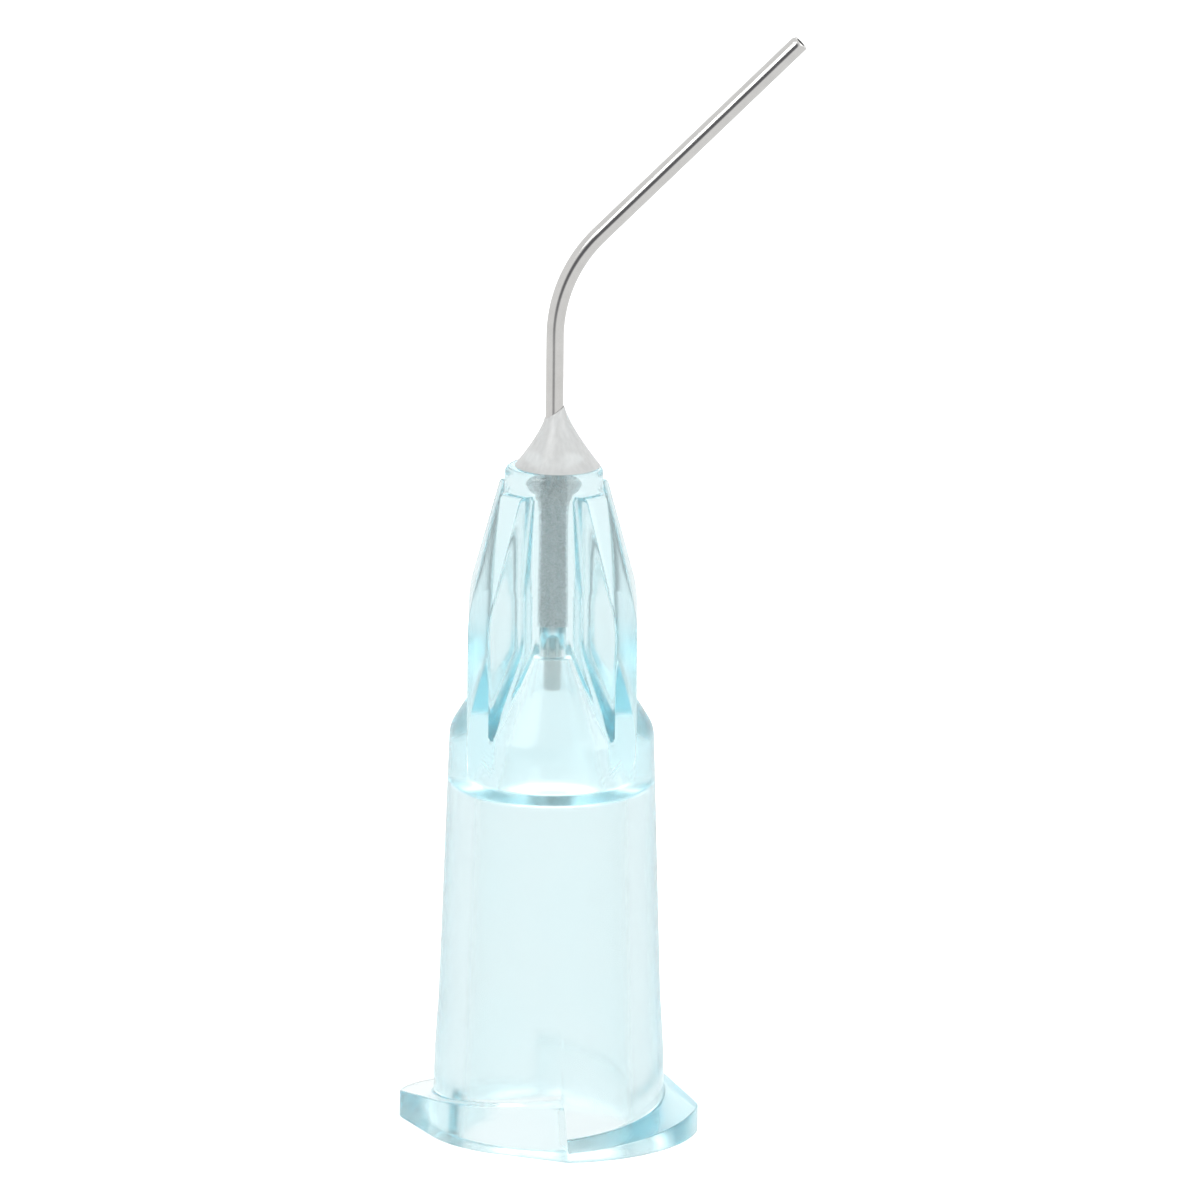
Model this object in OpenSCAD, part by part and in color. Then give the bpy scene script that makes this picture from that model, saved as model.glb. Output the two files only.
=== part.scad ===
// Dispensing needle tip: a moulded Luer-lock hub, a bent steel cannula and the epoxy that holds it.
// Origin: centre of the socket's mouth, on the flat underside of the flange.
// +Z runs up the hub's axis, and the cannula bends over towards +X.

/* [Luer socket] */
// Diameter of the tapered socket at its mouth
socket_mouth_d = 4.3; // [4.2:0.01:4.4]
// Change of the socket's diameter per unit of depth, the standard 6 percent
socket_taper = 0.06; // [0.04:0.005:0.08]
// Depth of the tapered socket
socket_depth = 9; // [7.5:0.1:9.4]
// Diameter of the fluid passage where it leaves the socket's end face
passage_d = 2.7; // [2:0.05:3.2]
// Height over which the socket's end face is chamfered into the passage
passage_step = 0.2; // [0.1:0.05:0.4]
// Diameter of the passage at its narrow end
passage_end_d = 0.96; // [0.7:0.02:1.2]
// Height of the passage's narrow end
passage_end_z = 12.4; // [11.8:0.05:12.8]

/* [Lock flange] */
// Diameter over the two lock lugs
lug_d = 7.8; // [7.6:0.02:8]
// Diameter of the flange between the lugs
flange_d = 6.62; // [6.3:0.02:6.8]
// Angle that the rim of one lug spans
lug_span = 74; // [50:1:90]
// Thickness of a lug where its ramp starts
lug_start_h = 0.3; // [0.2:0.02:0.5]
// Rise of the lock ramp over one full turn, right-handed
ramp_lead = 2.3; // [1:0.1:3]
// Fall of the lug's upper face from the barrel to the rim, per unit of width
lug_fall = 0.11; // [0:0.01:0.3]
// Turn of the first lug about the axis, measured from the cannula's bend
lug_turn = -45; // [-90:1:90]

/* [Barrel] */
// Diameter of the barrel where it meets the underside's plane
barrel_foot_d = 5.94; // [5.6:0.02:6.2]
// Diameter of the barrel at its shoulder
barrel_top_d = 5.26; // [5:0.02:5.5]
// Height of the shoulder's corner
shoulder_z = 10.6; // [10.3:0.05:11]
// Radius that rounds the shoulder
shoulder_r = 0.8; // [0.3:0.05:1]

/* [Nose] */
// Diameter of the nose
nose_d = 2.54; // [2.3:0.02:2.8]
// Height of the nose above the underside
nose_z = 17.5; // [17:0.1:18.5]
// Height at which the pocket floor runs into the nose
pocket_z = 12.8; // [12.4:0.1:13.2]
// Radius of the fillet between the pocket floor and the nose
pocket_fillet = 0.3; // [0.1:0.05:0.5]
// Radius of the nose's top edge
nose_edge_r = 0.12; // [0.05:0.01:0.15]

/* [Fins] */
// Number of fins
fin_count = 4; // [3:1:6]
// Thickness of one fin
fin_t = 0.8; // [0.5:0.05:1]
// Distance from the axis to a fin's outer edge
fin_r = 2.64; // [2.3:0.02:2.7]
// Height at which a fin's edge starts to lean in
fin_lean_z = 13.87; // [13.2:0.05:14.5]
// Height of a fin's top
fin_top_z = 16.95; // [16.5:0.05:17.2]
// Distance from the axis to a fin's edge at its top
fin_top_r = 1.48; // [1.3:0.02:1.8]
// Radius that blends the lean into the upright edge
fin_blend_r = 3; // [1:0.1:4]

/* [Glue well] */
// Diameter of the glue well round the cannula
well_d = 0.56; // [0.5:0.02:0.9]
// Height of the well's floor
well_z = 13.35; // [13.2:0.05:14]
// Height at which the well opens into its funnel
funnel_z = 16.35; // [15.8:0.05:16.8]
// Diameter of the funnel at the nose's top
funnel_d = 2.14; // [1.8:0.02:2.2]

/* [Cannula] */
// Outer diameter of the cannula, 26 gauge
cannula_d = 0.46; // [0.3:0.01:0.5]
// Bore of the cannula
cannula_bore_d = 0.26; // [0.1:0.01:0.28]
// Height of the cannula's inlet end
inlet_z = 11.4; // [10.5:0.1:12]
// Height at which the bend starts
bend_z = 20.9; // [19.5:0.1:24]
// Radius of the bend, on the cannula's centre line
bend_r = 3.8; // [2:0.1:6]
// Angle of the bend
bend_angle = 45; // [15:1:90]
// Length of the straight end past the bend
tip_length = 7.2; // [2:0.1:25]
// Clearance between the cannula and the hub's guide hole, on the diameter
guide_clearance = 0.02; // [0.01:0.01:0.04]

/* [Epoxy] */
// Height of the epoxy's fillet up the cannula, above the nose
fillet_h = 1.34; // [0.8:0.02:1.8]
// Tilt of the fillet's upper edge, where it wets the side of the bend higher
fillet_tilt = 34; // [0:1:40]
// Thickness of the epoxy's edge on the cannula
fillet_edge = 0.03; // [0.01:0.01:0.06]

/* [Hidden] */
$fn = 96;
arc_steps = 8;
cut = 0.01;
ramp_turn = 180;
ramp_step = 6;
lug_count = 2;

flange_r = flange_d / 2;
lug_r = lug_d / 2;
lug_half = lug_span / 2;
tangent_turn = acos(flange_r / lug_r);
barrel_top_r = barrel_top_d / 2;
nose_r = nose_d / 2;
guide_d = cannula_d + guide_clearance;
socket_end_d = socket_mouth_d - socket_taper * socket_depth;
passage_z = socket_depth + passage_step;

// Points of the arc of radius r that rounds the corner b between a and c
function arc_at(a, b, c, r) =
    let (
        u = (a - b) / norm(a - b),
        v = (c - b) / norm(c - b),
        half = acos(u * v) / 2,
        middle = b + (u + v) / norm(u + v) * r / sin(half),
        from = b + u * r / tan(half) - middle,
        to = b + v * r / tan(half) - middle,
        start = atan2(from[1], from[0]),
        sweep = atan2(from[0] * to[1] - from[1] * to[0], from * to)
    )
    [for (i = [0:arc_steps])
        let (turn = start + sweep * i / arc_steps)
        middle + r * [cos(turn), sin(turn)]];

// Half section of the barrel, the pocket floor and the nose
module hub_section() {
    foot = [barrel_foot_d / 2, 0];
    shoulder = [barrel_top_r, shoulder_z];
    root = [nose_r, pocket_z];
    brow = [nose_r, nose_z];
    axis_top = [0, nose_z];
    polygon(concat(
        [[0, 0], foot],
        arc_at(foot, shoulder, root, shoulder_r),
        arc_at(shoulder, root, brow, pocket_fillet),
        arc_at(root, brow, axis_top, nose_edge_r),
        [axis_top]
    ));
}

// Outline of two opposite fins: upright, then leaning in to the nose
module fin_section() {
    base = [fin_r, shoulder_z - shoulder_r];
    lean = [fin_r, fin_lean_z];
    top = [fin_top_r, fin_top_z];
    polygon(concat(
        [[0, base[1]], base],
        arc_at(base, lean, top, fin_blend_r),
        [top, [0, fin_top_z]]
    ));
}

module fins() {
    intersection() {
        rotate_extrude() fin_section();
        union() for (i = [0:fin_count - 1])
            rotate(i * 360 / fin_count)
                translate([0, -fin_t / 2, 0])
                    cube([fin_r + 1, fin_t, nose_z]);
    }
}

// Plan of the flange: a disc with two lugs, whose sides run off it as tangents
module flange_plan() {
    circle(flange_r);
    peak = flange_r / cos(lug_half + tangent_turn);
    for (i = [0:lug_count - 1]) rotate(i * 360 / lug_count)
        intersection() {
            circle(lug_r);
            polygon([
                [0, 0],
                flange_r * [cos(lug_half + tangent_turn), -sin(lug_half + tangent_turn)],
                [peak, 0],
                flange_r * [cos(lug_half + tangent_turn), sin(lug_half + tangent_turn)]
            ]);
        }
}

// Solid under one lock ramp, which climbs anticlockwise from a lug's trailing end
module ramp() {
    inner = socket_mouth_d / 2 - cut;
    outer = lug_r + 1;
    steps = ramp_turn / ramp_step;
    start_h = lug_start_h + lug_fall * (lug_r - inner);
    points = [for (i = [0:steps])
        let (
            turn = -lug_half + i * ramp_step,
            h = start_h + ramp_lead * i * ramp_step / 360,
            radial = [cos(turn), sin(turn), 0]
        )
        each [
            radial * inner,
            radial * outer,
            radial * outer + [0, 0, h - lug_fall * (outer - inner)],
            radial * inner + [0, 0, h]
        ]];
    sides = [for (i = [0:steps - 1], k = [0:3])
        let (a = 4 * i + k, b = 4 * i + (k + 1) % 4)
        [a, b, b + 4, a + 4]];
    polyhedron(points, concat([[3, 2, 1, 0]], sides, [[for (k = [0:3]) 4 * steps + k]]), convexity = 4);
}

module flange() {
    intersection() {
        linear_extrude(shoulder_z) flange_plan();
        union() for (i = [0:lug_count - 1]) rotate(i * 360 / lug_count) ramp();
    }
}

// Half section of everything that is open inside the hub
module cavity_section() {
    polygon([
        [0, -cut],
        [socket_mouth_d / 2 + socket_taper * cut / 2, -cut],
        [socket_end_d / 2, socket_depth],
        [passage_d / 2, passage_z],
        [passage_end_d / 2, passage_end_z],
        [guide_d / 2, passage_end_z],
        [guide_d / 2, well_z],
        [well_d / 2, well_z],
        [well_d / 2, funnel_z],
        [funnel_d / 2, nose_z],
        [funnel_d / 2, nose_z + cut],
        [0, nose_z + cut]
    ]);
}

// One moulding in polypropylene
module hub() color("#BFEFFF") rotate(lug_turn) difference() {
    union() {
        rotate_extrude() hub_section();
        fins();
        flange();
    }
    rotate_extrude() cavity_section();
}

// A section carried along the cannula's path: straight, bent, straight.
// The bend's far end is reached by a coarse and a fine step, so that the two tubes meet exactly there.
module cannula_path() {
    bend_end = [bend_r * (1 - cos(bend_angle)), 0, bend_r * sin(bend_angle)];
    coarse = [for (step = bend_end) round(step * 1000) / 1000];
    translate([0, 0, inlet_z]) linear_extrude(bend_z - inlet_z) children();
    translate([bend_r, 0, bend_z]) rotate([90, 0, 0])
        rotate(180) rotate_extrude(angle = -bend_angle)
            translate([bend_r, 0]) children();
    translate([0, 0, bend_z]) translate(coarse) translate(bend_end - coarse)
        rotate([0, bend_angle, 0]) linear_extrude(tip_length) children();
}

// Drawn stainless tube, cut square and bent
module cannula() color("#C9C9C6") cannula_path() difference() {
    circle(d = cannula_d);
    circle(d = cannula_bore_d);
}

// Epoxy that fills the well and the funnel and climbs the cannula as a hollow fillet
module epoxy_section() {
    edge_r = cannula_d / 2 + fillet_edge;
    rim = [funnel_d / 2, nose_z];
    peak = [edge_r, nose_z + fillet_h + edge_r * tan(fillet_tilt)];
    waist = [edge_r + 0.12 * (rim[0] - edge_r), nose_z + 0.2 * fillet_h];
    curve = [for (i = [0:arc_steps])
        let (t = i / arc_steps)
        (1 - t) * (1 - t) * rim + 2 * t * (1 - t) * waist + t * t * peak];
    polygon(concat(
        [[0, well_z], [well_d / 2, well_z], [well_d / 2, funnel_z]],
        curve,
        [[0, peak[1]]]
    ));
}

module epoxy() color("#DDE3E2") difference() {
    rotate_extrude() epoxy_section();
    cannula_path() circle(d = cannula_d);
    translate([0, 0, nose_z + fillet_h])
        rotate([0, -fillet_tilt, 0])
            translate([-lug_r, -lug_r, 0]) cube([lug_d, lug_d, fillet_h]);
}

hub();
cannula();
epoxy();
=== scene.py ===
import math

import bpy
import numpy as np
from mathutils import Matrix, Vector


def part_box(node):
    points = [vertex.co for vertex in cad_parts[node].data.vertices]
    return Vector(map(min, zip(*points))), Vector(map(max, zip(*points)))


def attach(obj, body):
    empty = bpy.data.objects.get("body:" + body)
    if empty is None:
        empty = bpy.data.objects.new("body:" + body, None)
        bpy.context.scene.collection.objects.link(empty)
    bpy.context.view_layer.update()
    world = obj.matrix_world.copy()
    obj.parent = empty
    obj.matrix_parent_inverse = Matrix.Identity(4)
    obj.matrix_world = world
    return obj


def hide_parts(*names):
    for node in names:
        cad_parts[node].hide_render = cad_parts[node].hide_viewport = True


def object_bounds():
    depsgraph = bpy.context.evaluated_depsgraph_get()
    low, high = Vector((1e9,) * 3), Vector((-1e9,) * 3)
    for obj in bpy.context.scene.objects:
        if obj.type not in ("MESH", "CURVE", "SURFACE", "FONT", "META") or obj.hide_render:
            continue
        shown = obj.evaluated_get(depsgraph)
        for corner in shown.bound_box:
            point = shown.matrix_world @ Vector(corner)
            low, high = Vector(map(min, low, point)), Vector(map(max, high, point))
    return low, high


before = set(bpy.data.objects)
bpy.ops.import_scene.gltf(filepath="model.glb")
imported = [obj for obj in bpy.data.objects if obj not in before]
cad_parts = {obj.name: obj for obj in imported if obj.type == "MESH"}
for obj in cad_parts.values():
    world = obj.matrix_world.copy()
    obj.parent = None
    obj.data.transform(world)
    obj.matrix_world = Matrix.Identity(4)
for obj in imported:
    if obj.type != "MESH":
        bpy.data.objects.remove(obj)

cad_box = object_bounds()

# ---------------------------------------------------------------------------
# Camera. A long lens, which looks a little down on the table. It is turned by
# half a degree, so that the tip leans slightly to the right in the frame.

MM = 0.001
camera_tilt = math.radians(14.1)
camera_roll = math.radians(0.52)
field_width = 30.82 * MM
aim = Vector((1.21, 0, 13.95)) * MM

camera_data = bpy.data.cameras.new("camera")
camera = bpy.data.objects.new("camera", camera_data)
bpy.context.scene.collection.objects.link(camera)
bpy.context.scene.camera = camera
camera_data.lens = 700.0
camera_data.sensor_width = 36.0
distance = camera_data.lens / camera_data.sensor_width * field_width
camera_data.clip_start = distance * 0.2
camera_data.clip_end = distance * 20
look = Vector((0, math.cos(camera_tilt), -math.sin(camera_tilt)))
across = Vector((1, 0, 0))
upward = across.cross(look)
turned_across = math.cos(camera_roll) * across + math.sin(camera_roll) * upward
turned_up = math.cos(camera_roll) * upward - math.sin(camera_roll) * across
camera.matrix_world = Matrix.Translation(aim - look * distance) @ Matrix(
    (turned_across, turned_up, -look)).transposed().to_4x4()

# ---------------------------------------------------------------------------
# Table, light tent and lamps. The tip stands on a white sheet inside a white
# tent, so that steel and plastic have white all round them. The front is open.


def linear(code):
    """An sRGB hex colour as linear red, green, blue and an alpha of one."""
    parts = [int(code[i:i + 2], 16) / 255 for i in (1, 3, 5)]
    return [p / 12.92 if p <= 0.04045 else ((p + 0.055) / 1.055) ** 2.4 for p in parts] + [1.0]


def add(tree, kind, inputs=(), **settings):
    """Adds a node, sets its properties, and gives each input a value or a link from another output."""
    node = tree.nodes.new(kind)
    for name, value in settings.items():
        setattr(node, name, value)
    for key, value in dict(inputs).items():
        if isinstance(value, bpy.types.NodeSocket):
            tree.links.new(value, node.inputs[key])
        else:
            node.inputs[key].default_value = value
    return node


world = bpy.data.worlds.new("white tent")
bpy.context.scene.world = world
world.use_nodes = True
tree = world.node_tree
tree.nodes.clear()
path = add(tree, "ShaderNodeLightPath")
through = path.outputs["Is Transmission Ray"]
mirrored = add(tree, "ShaderNodeMath", {0: path.outputs["Is Glossy Ray"], 1: through},
               operation="SUBTRACT", use_clamp=True)
seen = add(tree, "ShaderNodeMath", {0: path.outputs["Is Camera Ray"], 1: through}, operation="MAXIMUM")
clean = add(tree, "ShaderNodeMath", {0: seen.outputs[0], 1: mirrored.outputs[0]}, operation="MAXIMUM")
tent = add(tree, "ShaderNodeBackground", {"Color": linear("#F8FBFC"), "Strength": 0.85})
plain = add(tree, "ShaderNodeBackground", {"Color": (1, 1, 1, 1), "Strength": 1.0})
cloth = add(tree, "ShaderNodeMixShader", {0: clean.outputs[0], 1: tent.outputs[0], 2: plain.outputs[0]})

# The grey room beyond the tent's opening shows only in reflections, as a dark line along the steel.
opening_towards = Vector((-0.24, -0.97, 0.12)).normalized()
opening_rim = math.cos(math.radians(31))
opening_heart = math.cos(math.radians(12))
direction = add(tree, "ShaderNodeTexCoord")
facing = add(tree, "ShaderNodeVectorMath", {0: direction.outputs["Generated"], 1: opening_towards},
             operation="DOT_PRODUCT")
hole = add(tree, "ShaderNodeMapRange", {"Value": facing.outputs["Value"], "From Min": opening_rim,
                                        "From Max": opening_heart}, interpolation_type="SMOOTHSTEP")
dark = add(tree, "ShaderNodeMath", {0: hole.outputs[0], 1: mirrored.outputs[0]}, operation="MULTIPLY")
room = add(tree, "ShaderNodeBackground", {"Color": linear("#6E6E72"), "Strength": 1.0})
mix = add(tree, "ShaderNodeMixShader", {0: dark.outputs[0], 1: cloth.outputs[0], 2: room.outputs[0]})
add(tree, "ShaderNodeOutputWorld", {"Surface": mix.outputs[0]})

# Name, place and size in millimetres, and power in watts.
lamps = (
    ("key", (-60, -70, 90), 60, 0.035),
    ("fill", (80, -50, 60), 60, 0.02),
    ("back", (10, 90, 70), 80, 0.03),
)
for name, place, size, watts in lamps:
    data = bpy.data.lights.new(name, "AREA")
    data.size = size * MM
    data.energy = watts
    lamp = bpy.data.objects.new(name, data)
    bpy.context.scene.collection.objects.link(lamp)
    lamp.location = Vector(place) * MM
    lamp.rotation_euler = (aim - lamp.location).to_track_quat("-Z", "Y").to_euler()

sheet_half = 400 * MM
sheet_front = -64 * MM
corners = [(-sheet_half, sheet_front, 0), (sheet_half, sheet_front, 0),
           (sheet_half, sheet_half, 0), (-sheet_half, sheet_half, 0)]
sheet_mesh = bpy.data.meshes.new("table_sheet")
sheet_mesh.from_pydata(corners, [], [(0, 1, 2, 3)])
sheet = bpy.data.objects.new("table_sheet", sheet_mesh)
bpy.context.scene.collection.objects.link(sheet)
sheet_drop = 0.01 * MM
sheet.location.z = cad_box[0].z - sheet_drop

# Paper: matt white, with a faint cloud of fibre. Reflections and clear plastic see it as plain white.
paper = bpy.data.materials.new("white paper")
paper.use_nodes = True
tree = paper.node_tree
tree.nodes.clear()
path = add(tree, "ShaderNodeLightPath")
fibre = add(tree, "ShaderNodeTexNoise", {"Scale": 900.0, "Detail": 4.0})
tone = add(tree, "ShaderNodeMapRange", {"Value": fibre.outputs[0], "To Min": 0.93, "To Max": 0.96})
diffuse = add(tree, "ShaderNodeBsdfDiffuse", {"Color": tone.outputs[0]})
glow = add(tree, "ShaderNodeEmission", {"Color": (1, 1, 1, 1), "Strength": 0.5})
lit = add(tree, "ShaderNodeAddShader", {0: diffuse.outputs[0], 1: glow.outputs[0]})
white = add(tree, "ShaderNodeEmission", {"Color": (1, 1, 1, 1), "Strength": 1.0})
bent = add(tree, "ShaderNodeMath", {0: path.outputs["Is Transmission Ray"], 1: path.outputs["Is Glossy Ray"]},
           operation="MAXIMUM")
shown = add(tree, "ShaderNodeMixShader", {0: bent.outputs[0], 1: lit.outputs[0], 2: white.outputs[0]})
add(tree, "ShaderNodeOutputMaterial", {"Surface": shown.outputs[0]})
sheet_mesh.materials.append(paper)

# ---------------------------------------------------------------------------
# Hub. One injection moulding in translucent light blue polypropylene: the lock flange
# and its ramps, the drafted barrel round the tapered socket, the fins, and the nose.
# The mould's edges are all broken by small radii, which catch the light.

hub_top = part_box("hub")[1].z / MM
first_lug = -45.0
lug_r, flange_r, lug_half = 3.9, 3.31, 37.0
ramp_start, ramp_lead, ramp_fall = 0.245, 2.3, 0.11
ramp_turn, step_width = 180, 1.8
foot_r, foot_round = 2.97, 0.09
barrel_top_r, shoulder_z, shoulder_round = 2.63, 10.6, 0.8
pocket_z, pocket_round, nose_r, nose_round = 12.8, 0.3, 1.27, 0.18
fin_half, fin_r, lean_z, lean_round = 0.41, 2.72, 13.87, 3.0
fin_top_r, fin_top_z, fin_top_round = 1.62, 16.95, 0.15
fin_corner, fin_root, fin_sink = 0.10, 0.22, 0.02
socket_r, socket_taper, socket_depth, socket_end_round = 2.15, 0.03, 9.0, 0.12
passage_r, passage_step, passage_round = 1.35, 0.2, 0.08
passage_end_r, passage_end_z, passage_end_round = 0.48, 12.4, 0.1
guide_r, guide_edge = 0.24, 0.03
well_r, well_z, funnel_z, funnel_r = 0.31, 13.35, 16.35, 0.55
edge, rim_blend = 0.03, 0.05
hair, least_gap = 1e-3, 1e-4

# The barrel is round up to round_z. Over fin_rise above it the fins stand out of the barrel,
# and over slide_rise the mesh's columns slide to the fins' sides. Over nose_slide they slide back.
round_z, fin_rise, slide_rise = 9.3, 1.2, 1.6
nose_levels, nose_slide = (17.1, 17.25), 0.4


def corner(a, b, c, radius, steps):
    """The arc that rounds corner b of the path a, b, c."""
    a, b, c = (np.array(p, float) for p in (a, b, c))
    u, v = (a - b) / np.linalg.norm(a - b), (c - b) / np.linalg.norm(c - b)
    half = math.acos(float(u @ v)) / 2
    middle = b + (u + v) / np.linalg.norm(u + v) * radius / math.sin(half)
    start, end = b + u * radius / math.tan(half) - middle, b + v * radius / math.tan(half) - middle
    first = math.atan2(start[1], start[0])
    sweep = math.atan2(start[0] * end[1] - start[1] * end[0], float(start @ end))
    turns = first + sweep * np.linspace(0, 1, steps + 1)
    return [tuple(middle + radius * np.array([math.cos(t), math.sin(t)])) for t in turns]


def ease(x):
    """Nought to one, level at both ends."""
    x = np.clip(x, 0, 1)
    return x * x * (3 - 2 * x)


def mixed(a, b, share):
    """The value that lies at share of the way from a to b."""
    return (1 - share) * a + share * b


def soft_min(a, b, width):
    """The lesser of two, blended over width."""
    near = np.clip(1 - np.abs(a - b) / width, 0, 1)
    return np.minimum(a, b) - near * near * width / 4


def soft_max(a, b, width):
    """The greater of two, blended over width."""
    return -soft_min(-a, -b, width)


# Plan of the flange: lug arcs whose sides run off the disc as tangents.
tangent = math.degrees(math.acos(flange_r / lug_r))


def plan_r(turn):
    """Radius of the flange's rim at a turn from the first lug's middle, in degrees."""
    off = np.abs((turn + 90) % 180 - 90)
    side = flange_r / np.cos(np.radians(np.clip(lug_half + tangent - off, -80, 80)))
    side = np.where(off > lug_half + tangent, flange_r, side)
    return soft_min(np.full_like(side, lug_r), side, rim_blend)


def ramp_z(turn, r):
    """Height of the flange's upper face, which climbs from each lug's trailing end to a step."""
    climb = (turn + lug_half) % ramp_turn
    drop = 1 - ease((climb - (ramp_turn - step_width)) / step_width)
    rise = ramp_lead * climb / 360 * drop
    return ramp_start + ramp_fall * (lug_r - r) + rise


# Columns of points run up the hub, and crowd together at the ramps' two steps.
column_count, crowding = 384, 0.47
step_turn = ramp_turn - lug_half
even = np.linspace(0, 360, column_count, endpoint=False)
spread = np.degrees(np.sin(np.radians(2 * (even - step_turn + step_width / 2)))) * crowding
plan_turns = np.sort(even - spread)


def fin_ring_r(turns, core, rim):
    """Radius of a section through the fins: four slabs clipped at rim, blended into the core."""
    off = np.radians(np.abs((turns + 45) % 90 - 45))
    slab = fin_half / np.maximum(np.sin(off), least_gap)
    gap = max(rim - core, least_gap)
    blade = soft_min(np.full_like(slab, rim), slab, min(fin_corner * 2, gap))
    return soft_max(np.full_like(slab, core), blade, min(fin_root * 2, gap))


def fin_turns(core, rim):
    """Column turns that stand evenly along the section's outline, and closer where it bends."""
    samples, bend_weight = 900, 0.22
    fine = np.linspace(0, 45, samples)
    r = fin_ring_r(fine, core, rim)
    x, y = r * np.cos(np.radians(fine)), r * np.sin(np.radians(fine))
    heading = np.unwrap(np.arctan2(np.diff(y), np.diff(x)))
    travel = np.hypot(np.diff(x), np.diff(y))
    bend = np.abs(np.diff(heading, prepend=heading[0]))
    along = np.concatenate([[0], np.cumsum(travel + bend_weight * bend)])
    eighth = np.interp(np.linspace(0, along[-1], column_count // 8 + 1), along, fine)
    quarter = np.concatenate([eighth, 90 - eighth[-2:0:-1]])
    return np.concatenate([quarter + 90 * i for i in range(4)])


# Half section of the barrel, pocket floor and nose, without the fins.
foot, shoulder = (foot_r, 0), (barrel_top_r, shoulder_z)
root, brow = (nose_r, pocket_z), (nose_r, hub_top)
core_path = [foot]
core_path += corner(foot, shoulder, root, shoulder_round, 12)
core_path += corner(shoulder, root, brow, pocket_round, 8)
core_path += [brow]
core_rs, core_zs = np.array(core_path).T


def core_r(z):
    """Radius of the barrel, pocket floor or nose at a height."""
    return np.interp(z, core_zs, core_rs)


# Outer edge of a fin, from the barrel to its top and in to the nose.
fin_foot, fin_lean, fin_top = (fin_r, shoulder_z), (fin_r, lean_z), (fin_top_r, fin_top_z)
fin_path = corner(fin_foot, fin_lean, fin_top, lean_round, 14)
fin_path += corner(fin_lean, fin_top, (0, fin_top_z), fin_top_round, 6)
fin_path += [(nose_r - fin_sink, fin_top_z + hair)]

rings = []


def ring(turns, r, z, bonded=0.0):
    """One closed ring of points. Bonded marks the wall above it where epoxy wets it."""
    whole = np.ones(column_count)
    rings.append((turns * whole, r * whole, z * whole, bonded))


rim_r = plan_r(plan_turns)
rim_z = ramp_z(plan_turns, rim_r)
root_r = foot_r + foot_round
root_z = ramp_z(plan_turns, np.full_like(rim_r, root_r))
quarter_arc = np.radians(np.linspace(0, 90, 5))
quarters = (0.25, 0.5, 0.75)

# Underside, from the socket's mouth to the rim, then the rim and the ramps.
for a in quarter_arc:
    ring(plan_turns, socket_r + edge - edge * math.cos(a), edge - edge * math.sin(a))
for share in (0.35, 0.7):
    ring(plan_turns, mixed(socket_r, rim_r, share), 0)
for a in quarter_arc:
    ring(plan_turns, rim_r - edge + edge * math.sin(a), edge - edge * math.cos(a))
for share in quarters:
    ring(plan_turns, rim_r, mixed(edge, rim_z - edge, share))
for a in quarter_arc:
    ring(plan_turns, rim_r - edge + edge * math.cos(a), rim_z - edge + edge * math.sin(a))
for share in quarters:
    r = mixed(rim_r - edge, root_r, share)
    ring(plan_turns, r, ramp_z(plan_turns, r))

# Fillet at the barrel's foot, and the barrel.
for a in quarter_arc:
    ring(plan_turns, root_r - foot_round * math.sin(a), root_z + foot_round - foot_round * math.cos(a))
for share in np.linspace(0, 1, 15)[1:]:
    z = mixed(root_z + foot_round, round_z, share)
    ring(plan_turns, mixed(foot_r, core_r(z), ease(share * 3)), z)

# The fins rise out of the barrel at the shoulder. Each pair is a height and the number of rings below it.
fin_zs = [round_z]
for top, levels in ((10.1, 5), (11.2, 12), (12.6, 8), (13.1, 4)):
    fin_zs += list(np.linspace(fin_zs[-1], top, levels + 1)[1:])
for z in fin_zs[1:]:
    core = float(core_r(z))
    rim = mixed(core, fin_r, float(ease((z - round_z) / fin_rise)))
    turns = mixed(plan_turns, fin_turns(core, max(rim, core + hair)), ease((z - round_z) / slide_rise))
    ring(turns, fin_ring_r(turns, core, rim), z)
for r, z in fin_path:
    core = float(core_r(z))
    turns = fin_turns(core, max(r, core + hair))
    ring(turns, fin_ring_r(turns, core, r), z)

# The nose and its rounded top edge.
nose_turns = fin_turns(nose_r, fin_top_r)
for z in nose_levels:
    ring(mixed(nose_turns, plan_turns, ease((z - fin_top_z) / nose_slide)), nose_r, z)
for a in quarter_arc:
    ring(plan_turns, nose_r - nose_round + nose_round * math.cos(a),
         hub_top - nose_round + nose_round * math.sin(a))

# Down the inside: funnel, glue well, guide hole, passage and socket.
ring(plan_turns, funnel_r, hub_top, 1.0)
for share in (0.25, 0.5, 0.75, 1.0):
    ring(plan_turns, mixed(funnel_r, well_r, share), mixed(hub_top, funnel_z, share), 1.0)
for share in (0.2, 0.4, 0.6, 0.8, 1.0):
    ring(plan_turns, well_r, mixed(funnel_z, well_z, share), 1.0)
ring(plan_turns, guide_r, well_z)
ring(plan_turns, guide_r, passage_end_z + guide_edge)
ring(plan_turns, guide_r + guide_edge, passage_end_z)
guide_end, ceiling = (guide_r, passage_end_z), (passage_end_r, passage_end_z)
passage_mouth = (passage_r, socket_depth + passage_step)
socket_end = (socket_r - socket_taper * socket_depth, socket_depth)
inside = corner(guide_end, ceiling, passage_mouth, passage_end_round, 4)
inside += [tuple(mixed(np.array(ceiling), np.array(passage_mouth), share)) for share in (0.3, 0.6)]
inside += corner(ceiling, passage_mouth, socket_end, passage_round, 4)
inside += corner(passage_mouth, socket_end, (socket_r, 0), socket_end_round, 5)
for r, z in inside:
    ring(plan_turns, r, z)
socket_top_gap = 0.2
for z in np.linspace(socket_depth - socket_top_gap, edge, 9)[1:-1]:
    ring(plan_turns, socket_r - socket_taper * z, z)


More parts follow.
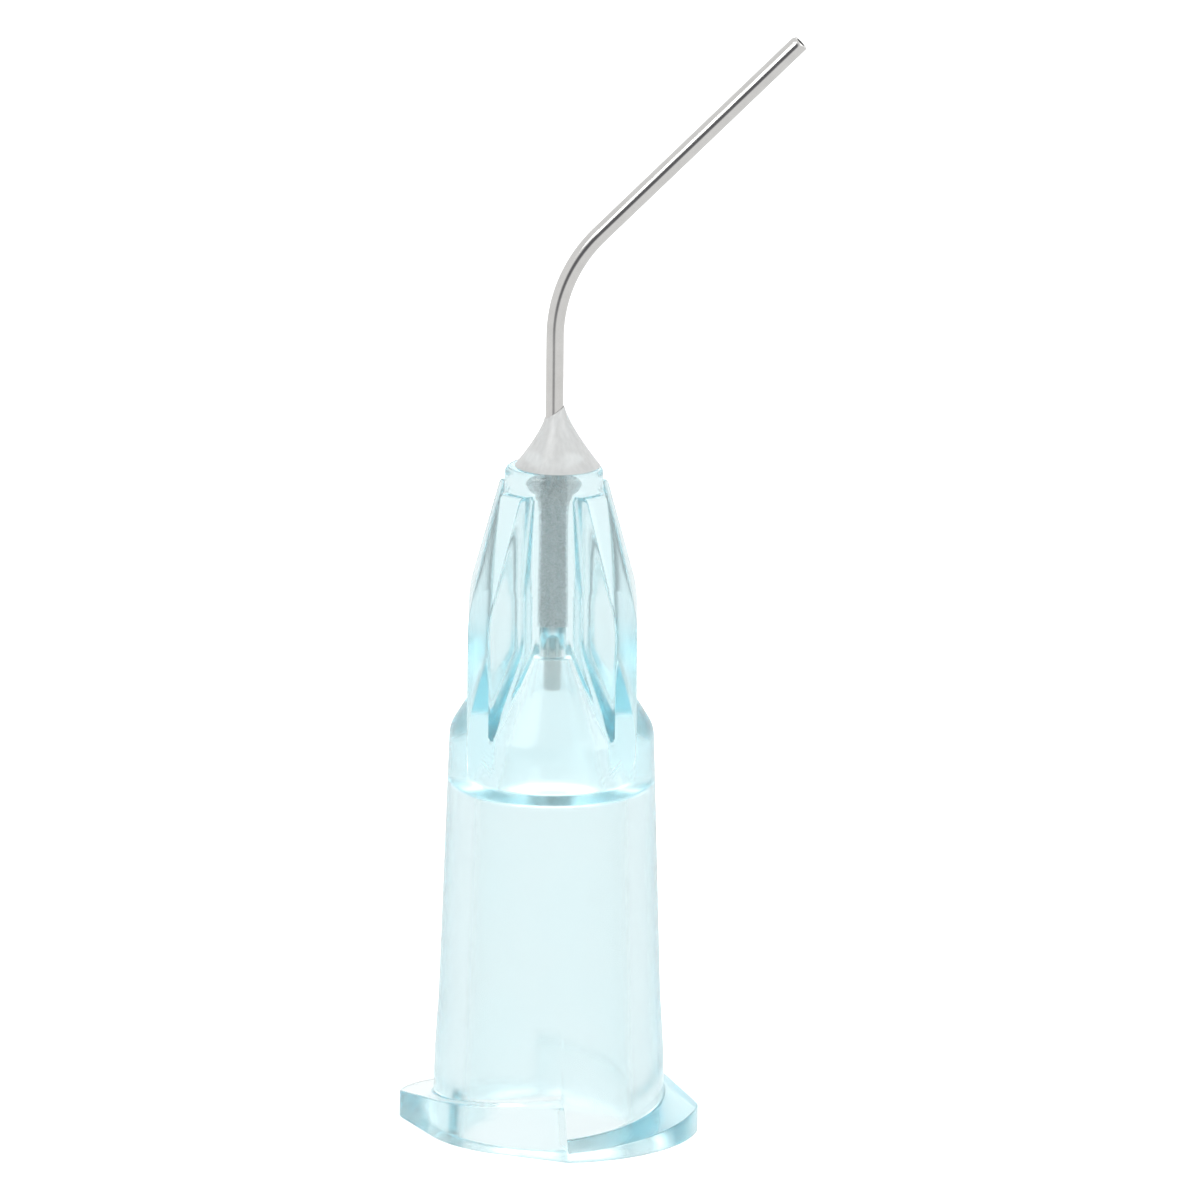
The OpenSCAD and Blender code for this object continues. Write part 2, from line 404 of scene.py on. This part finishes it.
def sewn_skin(name, rings):
    """Object whose closed skin joins ring to ring: turns in degrees, radii and heights in millimetres."""
    count = len(rings[0][0])
    points = np.vstack([np.c_[r * np.cos(np.radians(t)), r * np.sin(np.radians(t)), z]
                        for t, r, z, _ in rings]) * MM
    faces, bonded = [], []
    for i in range(len(rings)):
        j = (i + 1) % len(rings)
        for k in range(count):
            n = (k + 1) % count
            faces.append((i * count + k, i * count + n, j * count + n, j * count + k))
        bonded += [rings[i][3]] * count
    mesh = bpy.data.meshes.new(name)
    mesh.from_pydata(points.tolist(), [], faces)
    mesh.attributes.new("bonded", "FLOAT", "FACE").data.foreach_set("value", bonded)
    mesh.polygons.foreach_set("use_smooth", [True] * len(faces))
    mesh.update()
    skin = bpy.data.objects.new(name, mesh)
    bpy.context.scene.collection.objects.link(skin)
    return skin


hub = sewn_skin("hub_moulding", [(turns + first_lug, r, z, bonded) for turns, r, z, bonded in rings])

# Polypropylene: clear blue in the mass, with a faint bloom from the mould that blurs what lies behind it.
# Where the epoxy wets it there is no gloss and no bending of light, as the two are alike.
polypropylene = bpy.data.materials.new("translucent polypropylene")
polypropylene.use_nodes = True
tree = polypropylene.node_tree
shader = tree.nodes["Principled BSDF"]
place = add(tree, "ShaderNodeTexCoord")
cloud = add(tree, "ShaderNodeTexNoise", {"Vector": place.outputs["Object"], "Scale": 420.0, "Detail": 3.0})
tint = add(tree, "ShaderNodeMix", {0: cloud.outputs[0], 6: linear("#F6FEFF"), 7: linear("#FCFFFF")},
           data_type="RGBA")
bloom = add(tree, "ShaderNodeMapRange", {"Value": cloud.outputs[0], "To Min": 0.12, "To Max": 0.22})
tree.links.new(tint.outputs[2], shader.inputs["Base Color"])
tree.links.new(bloom.outputs[0], shader.inputs["Roughness"])
shader.inputs["Transmission Weight"].default_value = 0.96
shader.inputs["IOR"].default_value = 1.49
wetted = add(tree, "ShaderNodeAttribute", attribute_name="bonded")
clear = add(tree, "ShaderNodeBsdfTransparent")
surface = add(tree, "ShaderNodeMixShader", {0: wetted.outputs["Fac"], 1: shader.outputs[0],
                                            2: clear.outputs[0]})
absorb = add(tree, "ShaderNodeVolumeAbsorption", {"Color": linear("#7CF2FF"), "Density": 84.0})
tree.links.new(surface.outputs[0], tree.nodes["Material Output"].inputs["Surface"])
tree.links.new(absorb.outputs[0], tree.nodes["Material Output"].inputs["Volume"])
hub.data.materials.append(polypropylene)
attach(hub, "root")
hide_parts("hub")

# ---------------------------------------------------------------------------
# Cannula. A drawn stainless tube of 26 gauge, cut square at both ends and bent once on a mandrel.
# It stands in the hub's guide hole, and the epoxy in the well holds it.

cannula_r, bore_r = 0.23, 0.13
inlet_z, bend_z, bend_r, bend_angle, tip_length = 11.4, 20.9, 3.8, math.radians(45), 7.2
cannula_length = bend_z - inlet_z + bend_r * bend_angle + tip_length
around, along = 65, 321
wall_share = 0.485
seam_gap = 1e-7
crisp_turn = math.radians(50)

bender = bpy.data.node_groups.new("bent_tube", "GeometryNodeTree")
bender.interface.new_socket("Geometry", in_out="OUTPUT", socket_type="NodeSocketGeometry")
tube_sizes = {
    "Outer radius": cannula_r * MM,
    "Bore radius": bore_r * MM,
    "Inlet height": inlet_z * MM,
    "Straight length": (bend_z - inlet_z) * MM,
    "Bend radius": bend_r * MM,
    "Bend angle": bend_angle,
    "Whole length": cannula_length * MM,
}
sockets = {name: bender.interface.new_socket(name, in_out="INPUT", socket_type="NodeSocketFloat").identifier
           for name in tube_sizes}
given = add(bender, "NodeGroupInput").outputs


def maths(operation, *values):
    """Output of one Math node in the tube's tree."""
    return add(bender, "ShaderNodeMath", dict(enumerate(values)), operation=operation).outputs[0]


def between(value, start, end):
    """Nought before start, one after end."""
    return add(bender, "ShaderNodeMapRange", {"Value": value, "From Min": start, "From Max": end}).outputs[0]


# A flat grid is rolled into a tube. Its columns run out along the outer wall, over the far end,
# back along the bore, and over the near end. Wall_share is the part of a column that one wall takes.
flat = add(bender, "GeometryNodeMeshGrid", {"Size X": 1.0, "Size Y": 1.0, "Vertices X": around,
                                            "Vertices Y": along})
spot = add(bender, "ShaderNodeSeparateXYZ", {0: add(bender, "GeometryNodeInputPosition").outputs[0]}).outputs
roll = maths("MULTIPLY", maths("ADD", spot[0], 0.5), -2 * math.pi)
loop = maths("ADD", spot[1], 0.5)
out_way, over_end = between(loop, 0.0, wall_share), between(loop, wall_share, 0.5)
back_way, over_start = between(loop, 0.5, 0.5 + wall_share), between(loop, 0.5 + wall_share, 1.0)
travel = maths("MULTIPLY", maths("SUBTRACT", out_way, back_way), given["Whole length"])
inwards = maths("SUBTRACT", over_end, over_start)
wall = maths("SUBTRACT", given["Outer radius"], given["Bore radius"])
radius = maths("SUBTRACT", given["Outer radius"], maths("MULTIPLY", wall, inwards))
local_x, local_y = (maths("MULTIPLY", radius, maths(turn, roll)) for turn in ("COSINE", "SINE"))

# The rolled tube follows its centre line: straight, bent, straight.
past = maths("MAXIMUM", maths("SUBTRACT", travel, given["Straight length"]), 0.0)
heading = maths("MINIMUM", maths("DIVIDE", past, given["Bend radius"]), given["Bend angle"])
beyond = maths("SUBTRACT", past, maths("MULTIPLY", heading, given["Bend radius"]))
sine, cosine = maths("SINE", heading), maths("COSINE", heading)
swing = maths("MULTIPLY", given["Bend radius"], maths("SUBTRACT", 1.0, cosine))
middle_x = maths("ADD", swing, maths("MULTIPLY", beyond, sine))
place_x = maths("ADD", middle_x, maths("MULTIPLY", local_x, cosine))
height = maths("ADD", given["Inlet height"], maths("MINIMUM", travel, given["Straight length"]))
climb = maths("ADD", maths("MULTIPLY", given["Bend radius"], sine), maths("MULTIPLY", beyond, cosine))
place_z = maths("SUBTRACT", maths("ADD", height, climb), maths("MULTIPLY", local_x, sine))
target = add(bender, "ShaderNodeCombineXYZ", {0: place_x, 1: local_y, 2: place_z})
moved = add(bender, "GeometryNodeSetPosition", {"Geometry": flat.outputs[0], "Position": target.outputs[0]})
sewn = add(bender, "GeometryNodeMergeByDistance", {"Geometry": moved.outputs[0], "Distance": seam_gap})
rounded = add(bender, "GeometryNodeSetShadeSmooth", {"Geometry": sewn.outputs[0]})

# Drawn stainless steel: a very fine grain, which spreads its highlights a little.
steel = bpy.data.materials.new("drawn stainless steel")
steel.use_nodes = True
tree = steel.node_tree
shader = tree.nodes["Principled BSDF"]
shader.inputs["Metallic"].default_value = 1.0
place = add(tree, "ShaderNodeTexCoord")
grain = add(tree, "ShaderNodeTexNoise", {"Vector": place.outputs["Object"], "Scale": 2600.0, "Detail": 5.0,
                                         "Roughness": 0.6})
metal_tone = add(tree, "ShaderNodeMix", {0: grain.outputs[0], 6: linear("#C3C2C0"), 7: linear("#D6D5D3")},
                 data_type="RGBA")
polish = add(tree, "ShaderNodeMapRange", {"Value": grain.outputs[0], "To Min": 0.1, "To Max": 0.18})
tree.links.new(metal_tone.outputs[2], shader.inputs["Base Color"])
tree.links.new(polish.outputs[0], shader.inputs["Roughness"])

real = add(bender, "GeometryNodeRealizeInstances", {0: rounded.outputs[0]})
dressed = add(bender, "GeometryNodeSetMaterial", {"Geometry": real.outputs[0], "Material": steel})
add(bender, "NodeGroupOutput", {0: dressed.outputs[0]})

blank = bpy.data.objects.new("cannula_blank", bpy.data.meshes.new("cannula_blank"))
bpy.context.scene.collection.objects.link(blank)
modifier = blank.modifiers.new("bent tube", "NODES")
modifier.node_group = bender
for name, value in tube_sizes.items():
    modifier[sockets[name]] = value
bpy.context.view_layer.update()
tube_mesh = bpy.data.meshes.new_from_object(blank.evaluated_get(bpy.context.evaluated_depsgraph_get()))
bpy.data.objects.remove(blank)
tube_mesh.name = "cannula_tube"
tube_mesh.set_sharp_from_angle(angle=crisp_turn)
cannula = bpy.data.objects.new("cannula_tube", tube_mesh)
bpy.context.scene.collection.objects.link(cannula)
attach(cannula, "root")
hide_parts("cannula")

# ---------------------------------------------------------------------------
# Epoxy. One shot of resin, dosed into the funnel after the cannula was set: it runs down the well,
# and it creeps up the cannula as a cone whose upper edge stands higher on the side of the bend.

epoxy_gap = 0.003
cone_rim, cone_rim_lean = 1.10, 0.09
cone_height, cone_height_lean = 1.40, 0.16
cone_edge_r, cone_power = cannula_r + 0.03, 1.3
cone_foot = hub_top + 0.006
lip_width, lip_height = 0.008, 0.006
skin_r, column_r = cannula_r + epoxy_gap, well_r - epoxy_gap
column_foot, skin_foot = well_z + epoxy_gap, well_z + 0.3
in_well, in_funnel, in_air = 1.0, 0.8, 0.0
rim_turn = math.radians(60)

epoxy_turns = np.linspace(0, 360, 128, endpoint=False)
lean = np.cos(np.radians(epoxy_turns))
cone_rim_r = cone_rim + cone_rim_lean * lean
cone_rise = cone_height + cone_height_lean * lean
crest = cone_foot + cone_rise
epoxy_rings = []


def epoxy_ring(r, z, bonded):
    """One ring of the epoxy's skin."""
    whole = np.ones_like(lean)
    epoxy_rings.append((epoxy_turns, r * whole, z * whole, bonded))


# Up the wall of the well and the funnel, and over the cone.
epoxy_ring(skin_r, column_foot, in_well)
epoxy_ring(column_r, column_foot, in_well)
for share in np.linspace(0, 1, 13)[1:]:
    epoxy_ring(column_r, mixed(well_z, funnel_z, share), in_well)
for share in np.linspace(0, 1, 7)[1:-1]:
    epoxy_ring(column_r + share * (funnel_r - well_r), mixed(funnel_z, hub_top, share), in_funnel)
epoxy_ring(funnel_r - epoxy_gap, hub_top, in_air)
for share in np.linspace(0, 1, 25):
    epoxy_ring(cone_edge_r + (cone_rim_r - cone_edge_r) * (1 - share) ** cone_power,
               cone_foot + share * cone_rise, in_air)

# Over the thin lip at the cone's top, and down along the cannula.
epoxy_ring(cone_edge_r - lip_width, crest + lip_height, in_air)
for share in np.linspace(0, 1, 9)[:-1]:
    epoxy_ring(skin_r, mixed(crest, hub_top, share), in_air)
for share in np.linspace(0, 1, 6)[:-1]:
    epoxy_ring(skin_r, mixed(hub_top, skin_foot, share), in_well)

epoxy = sewn_skin("epoxy_cone", epoxy_rings)
epoxy.data.set_sharp_from_angle(angle=rim_turn)

# Epoxy: milky, with faint upright streaks above the nose that are painted into its colour, where they stand
# in for the cannula seen through the clear resin. In the well it is clearer, and sandy with fine bubbles.
resin = bpy.data.materials.new("milky epoxy")
resin.use_nodes = True
tree = resin.node_tree
shader = tree.nodes["Principled BSDF"]
place = add(tree, "ShaderNodeTexCoord")
# Painted streaks: noise stretched upright shifts the milky tone a little, and stands in for the cannula seen
# through the resin.
painted_streak_stretch = add(tree, "ShaderNodeMapping", {"Vector": place.outputs["Object"],
                                            "Scale": (9000.0, 9000.0, 500.0)})
painted_cannula_streaks = add(tree, "ShaderNodeTexNoise", {"Vector": painted_streak_stretch.outputs[0], "Scale": 1.0, "Detail": 3.0})
painted_streak_share = add(tree, "ShaderNodeMapRange", {"Value": painted_cannula_streaks.outputs[0], "From Min": 0.35, "From Max": 0.65})
milky_tone_and_painted_streaks = add(tree, "ShaderNodeMix", {0: painted_streak_share.outputs[0], 6: linear("#D6D6D5"), 7: linear("#DEDEDD")},
                 data_type="RGBA")
tree.links.new(milky_tone_and_painted_streaks.outputs[2], shader.inputs["Base Color"])
shader.inputs["Roughness"].default_value = 0.22
shader.inputs["IOR"].default_value = 1.5
shader.inputs["Transmission Weight"].default_value = 0.25
sand = add(tree, "ShaderNodeTexNoise", {"Vector": place.outputs["Object"], "Scale": 22000.0, "Detail": 2.0})
bubbles = add(tree, "ShaderNodeMapRange", {"Value": sand.outputs[0], "From Min": 0.4, "From Max": 0.62,
                                           "To Min": 0.85, "To Max": 0.45})
wetted = add(tree, "ShaderNodeAttribute", attribute_name="bonded")
clearing = add(tree, "ShaderNodeMath", {0: wetted.outputs["Fac"], 1: bubbles.outputs[0]},
               operation="MULTIPLY")
clear = add(tree, "ShaderNodeBsdfTransparent", {"Color": linear("#FCFEFF")})
surface = add(tree, "ShaderNodeMixShader", {0: clearing.outputs[0], 1: shader.outputs[0],
                                            2: clear.outputs[0]})
tree.links.new(surface.outputs[0], tree.nodes["Material Output"].inputs["Surface"])
epoxy.data.materials.append(resin)
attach(epoxy, "root")
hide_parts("epoxy")

# Light crosses many clear walls in the hub, so it is followed further than usual.

scene = bpy.context.scene
light_crossings = 32
for kind in ("max_bounces", "transmission_bounces", "glossy_bounces", "transparent_max_bounces"):
    setattr(scene.cycles, kind, light_crossings)
scene.view_settings.view_transform = "Standard"
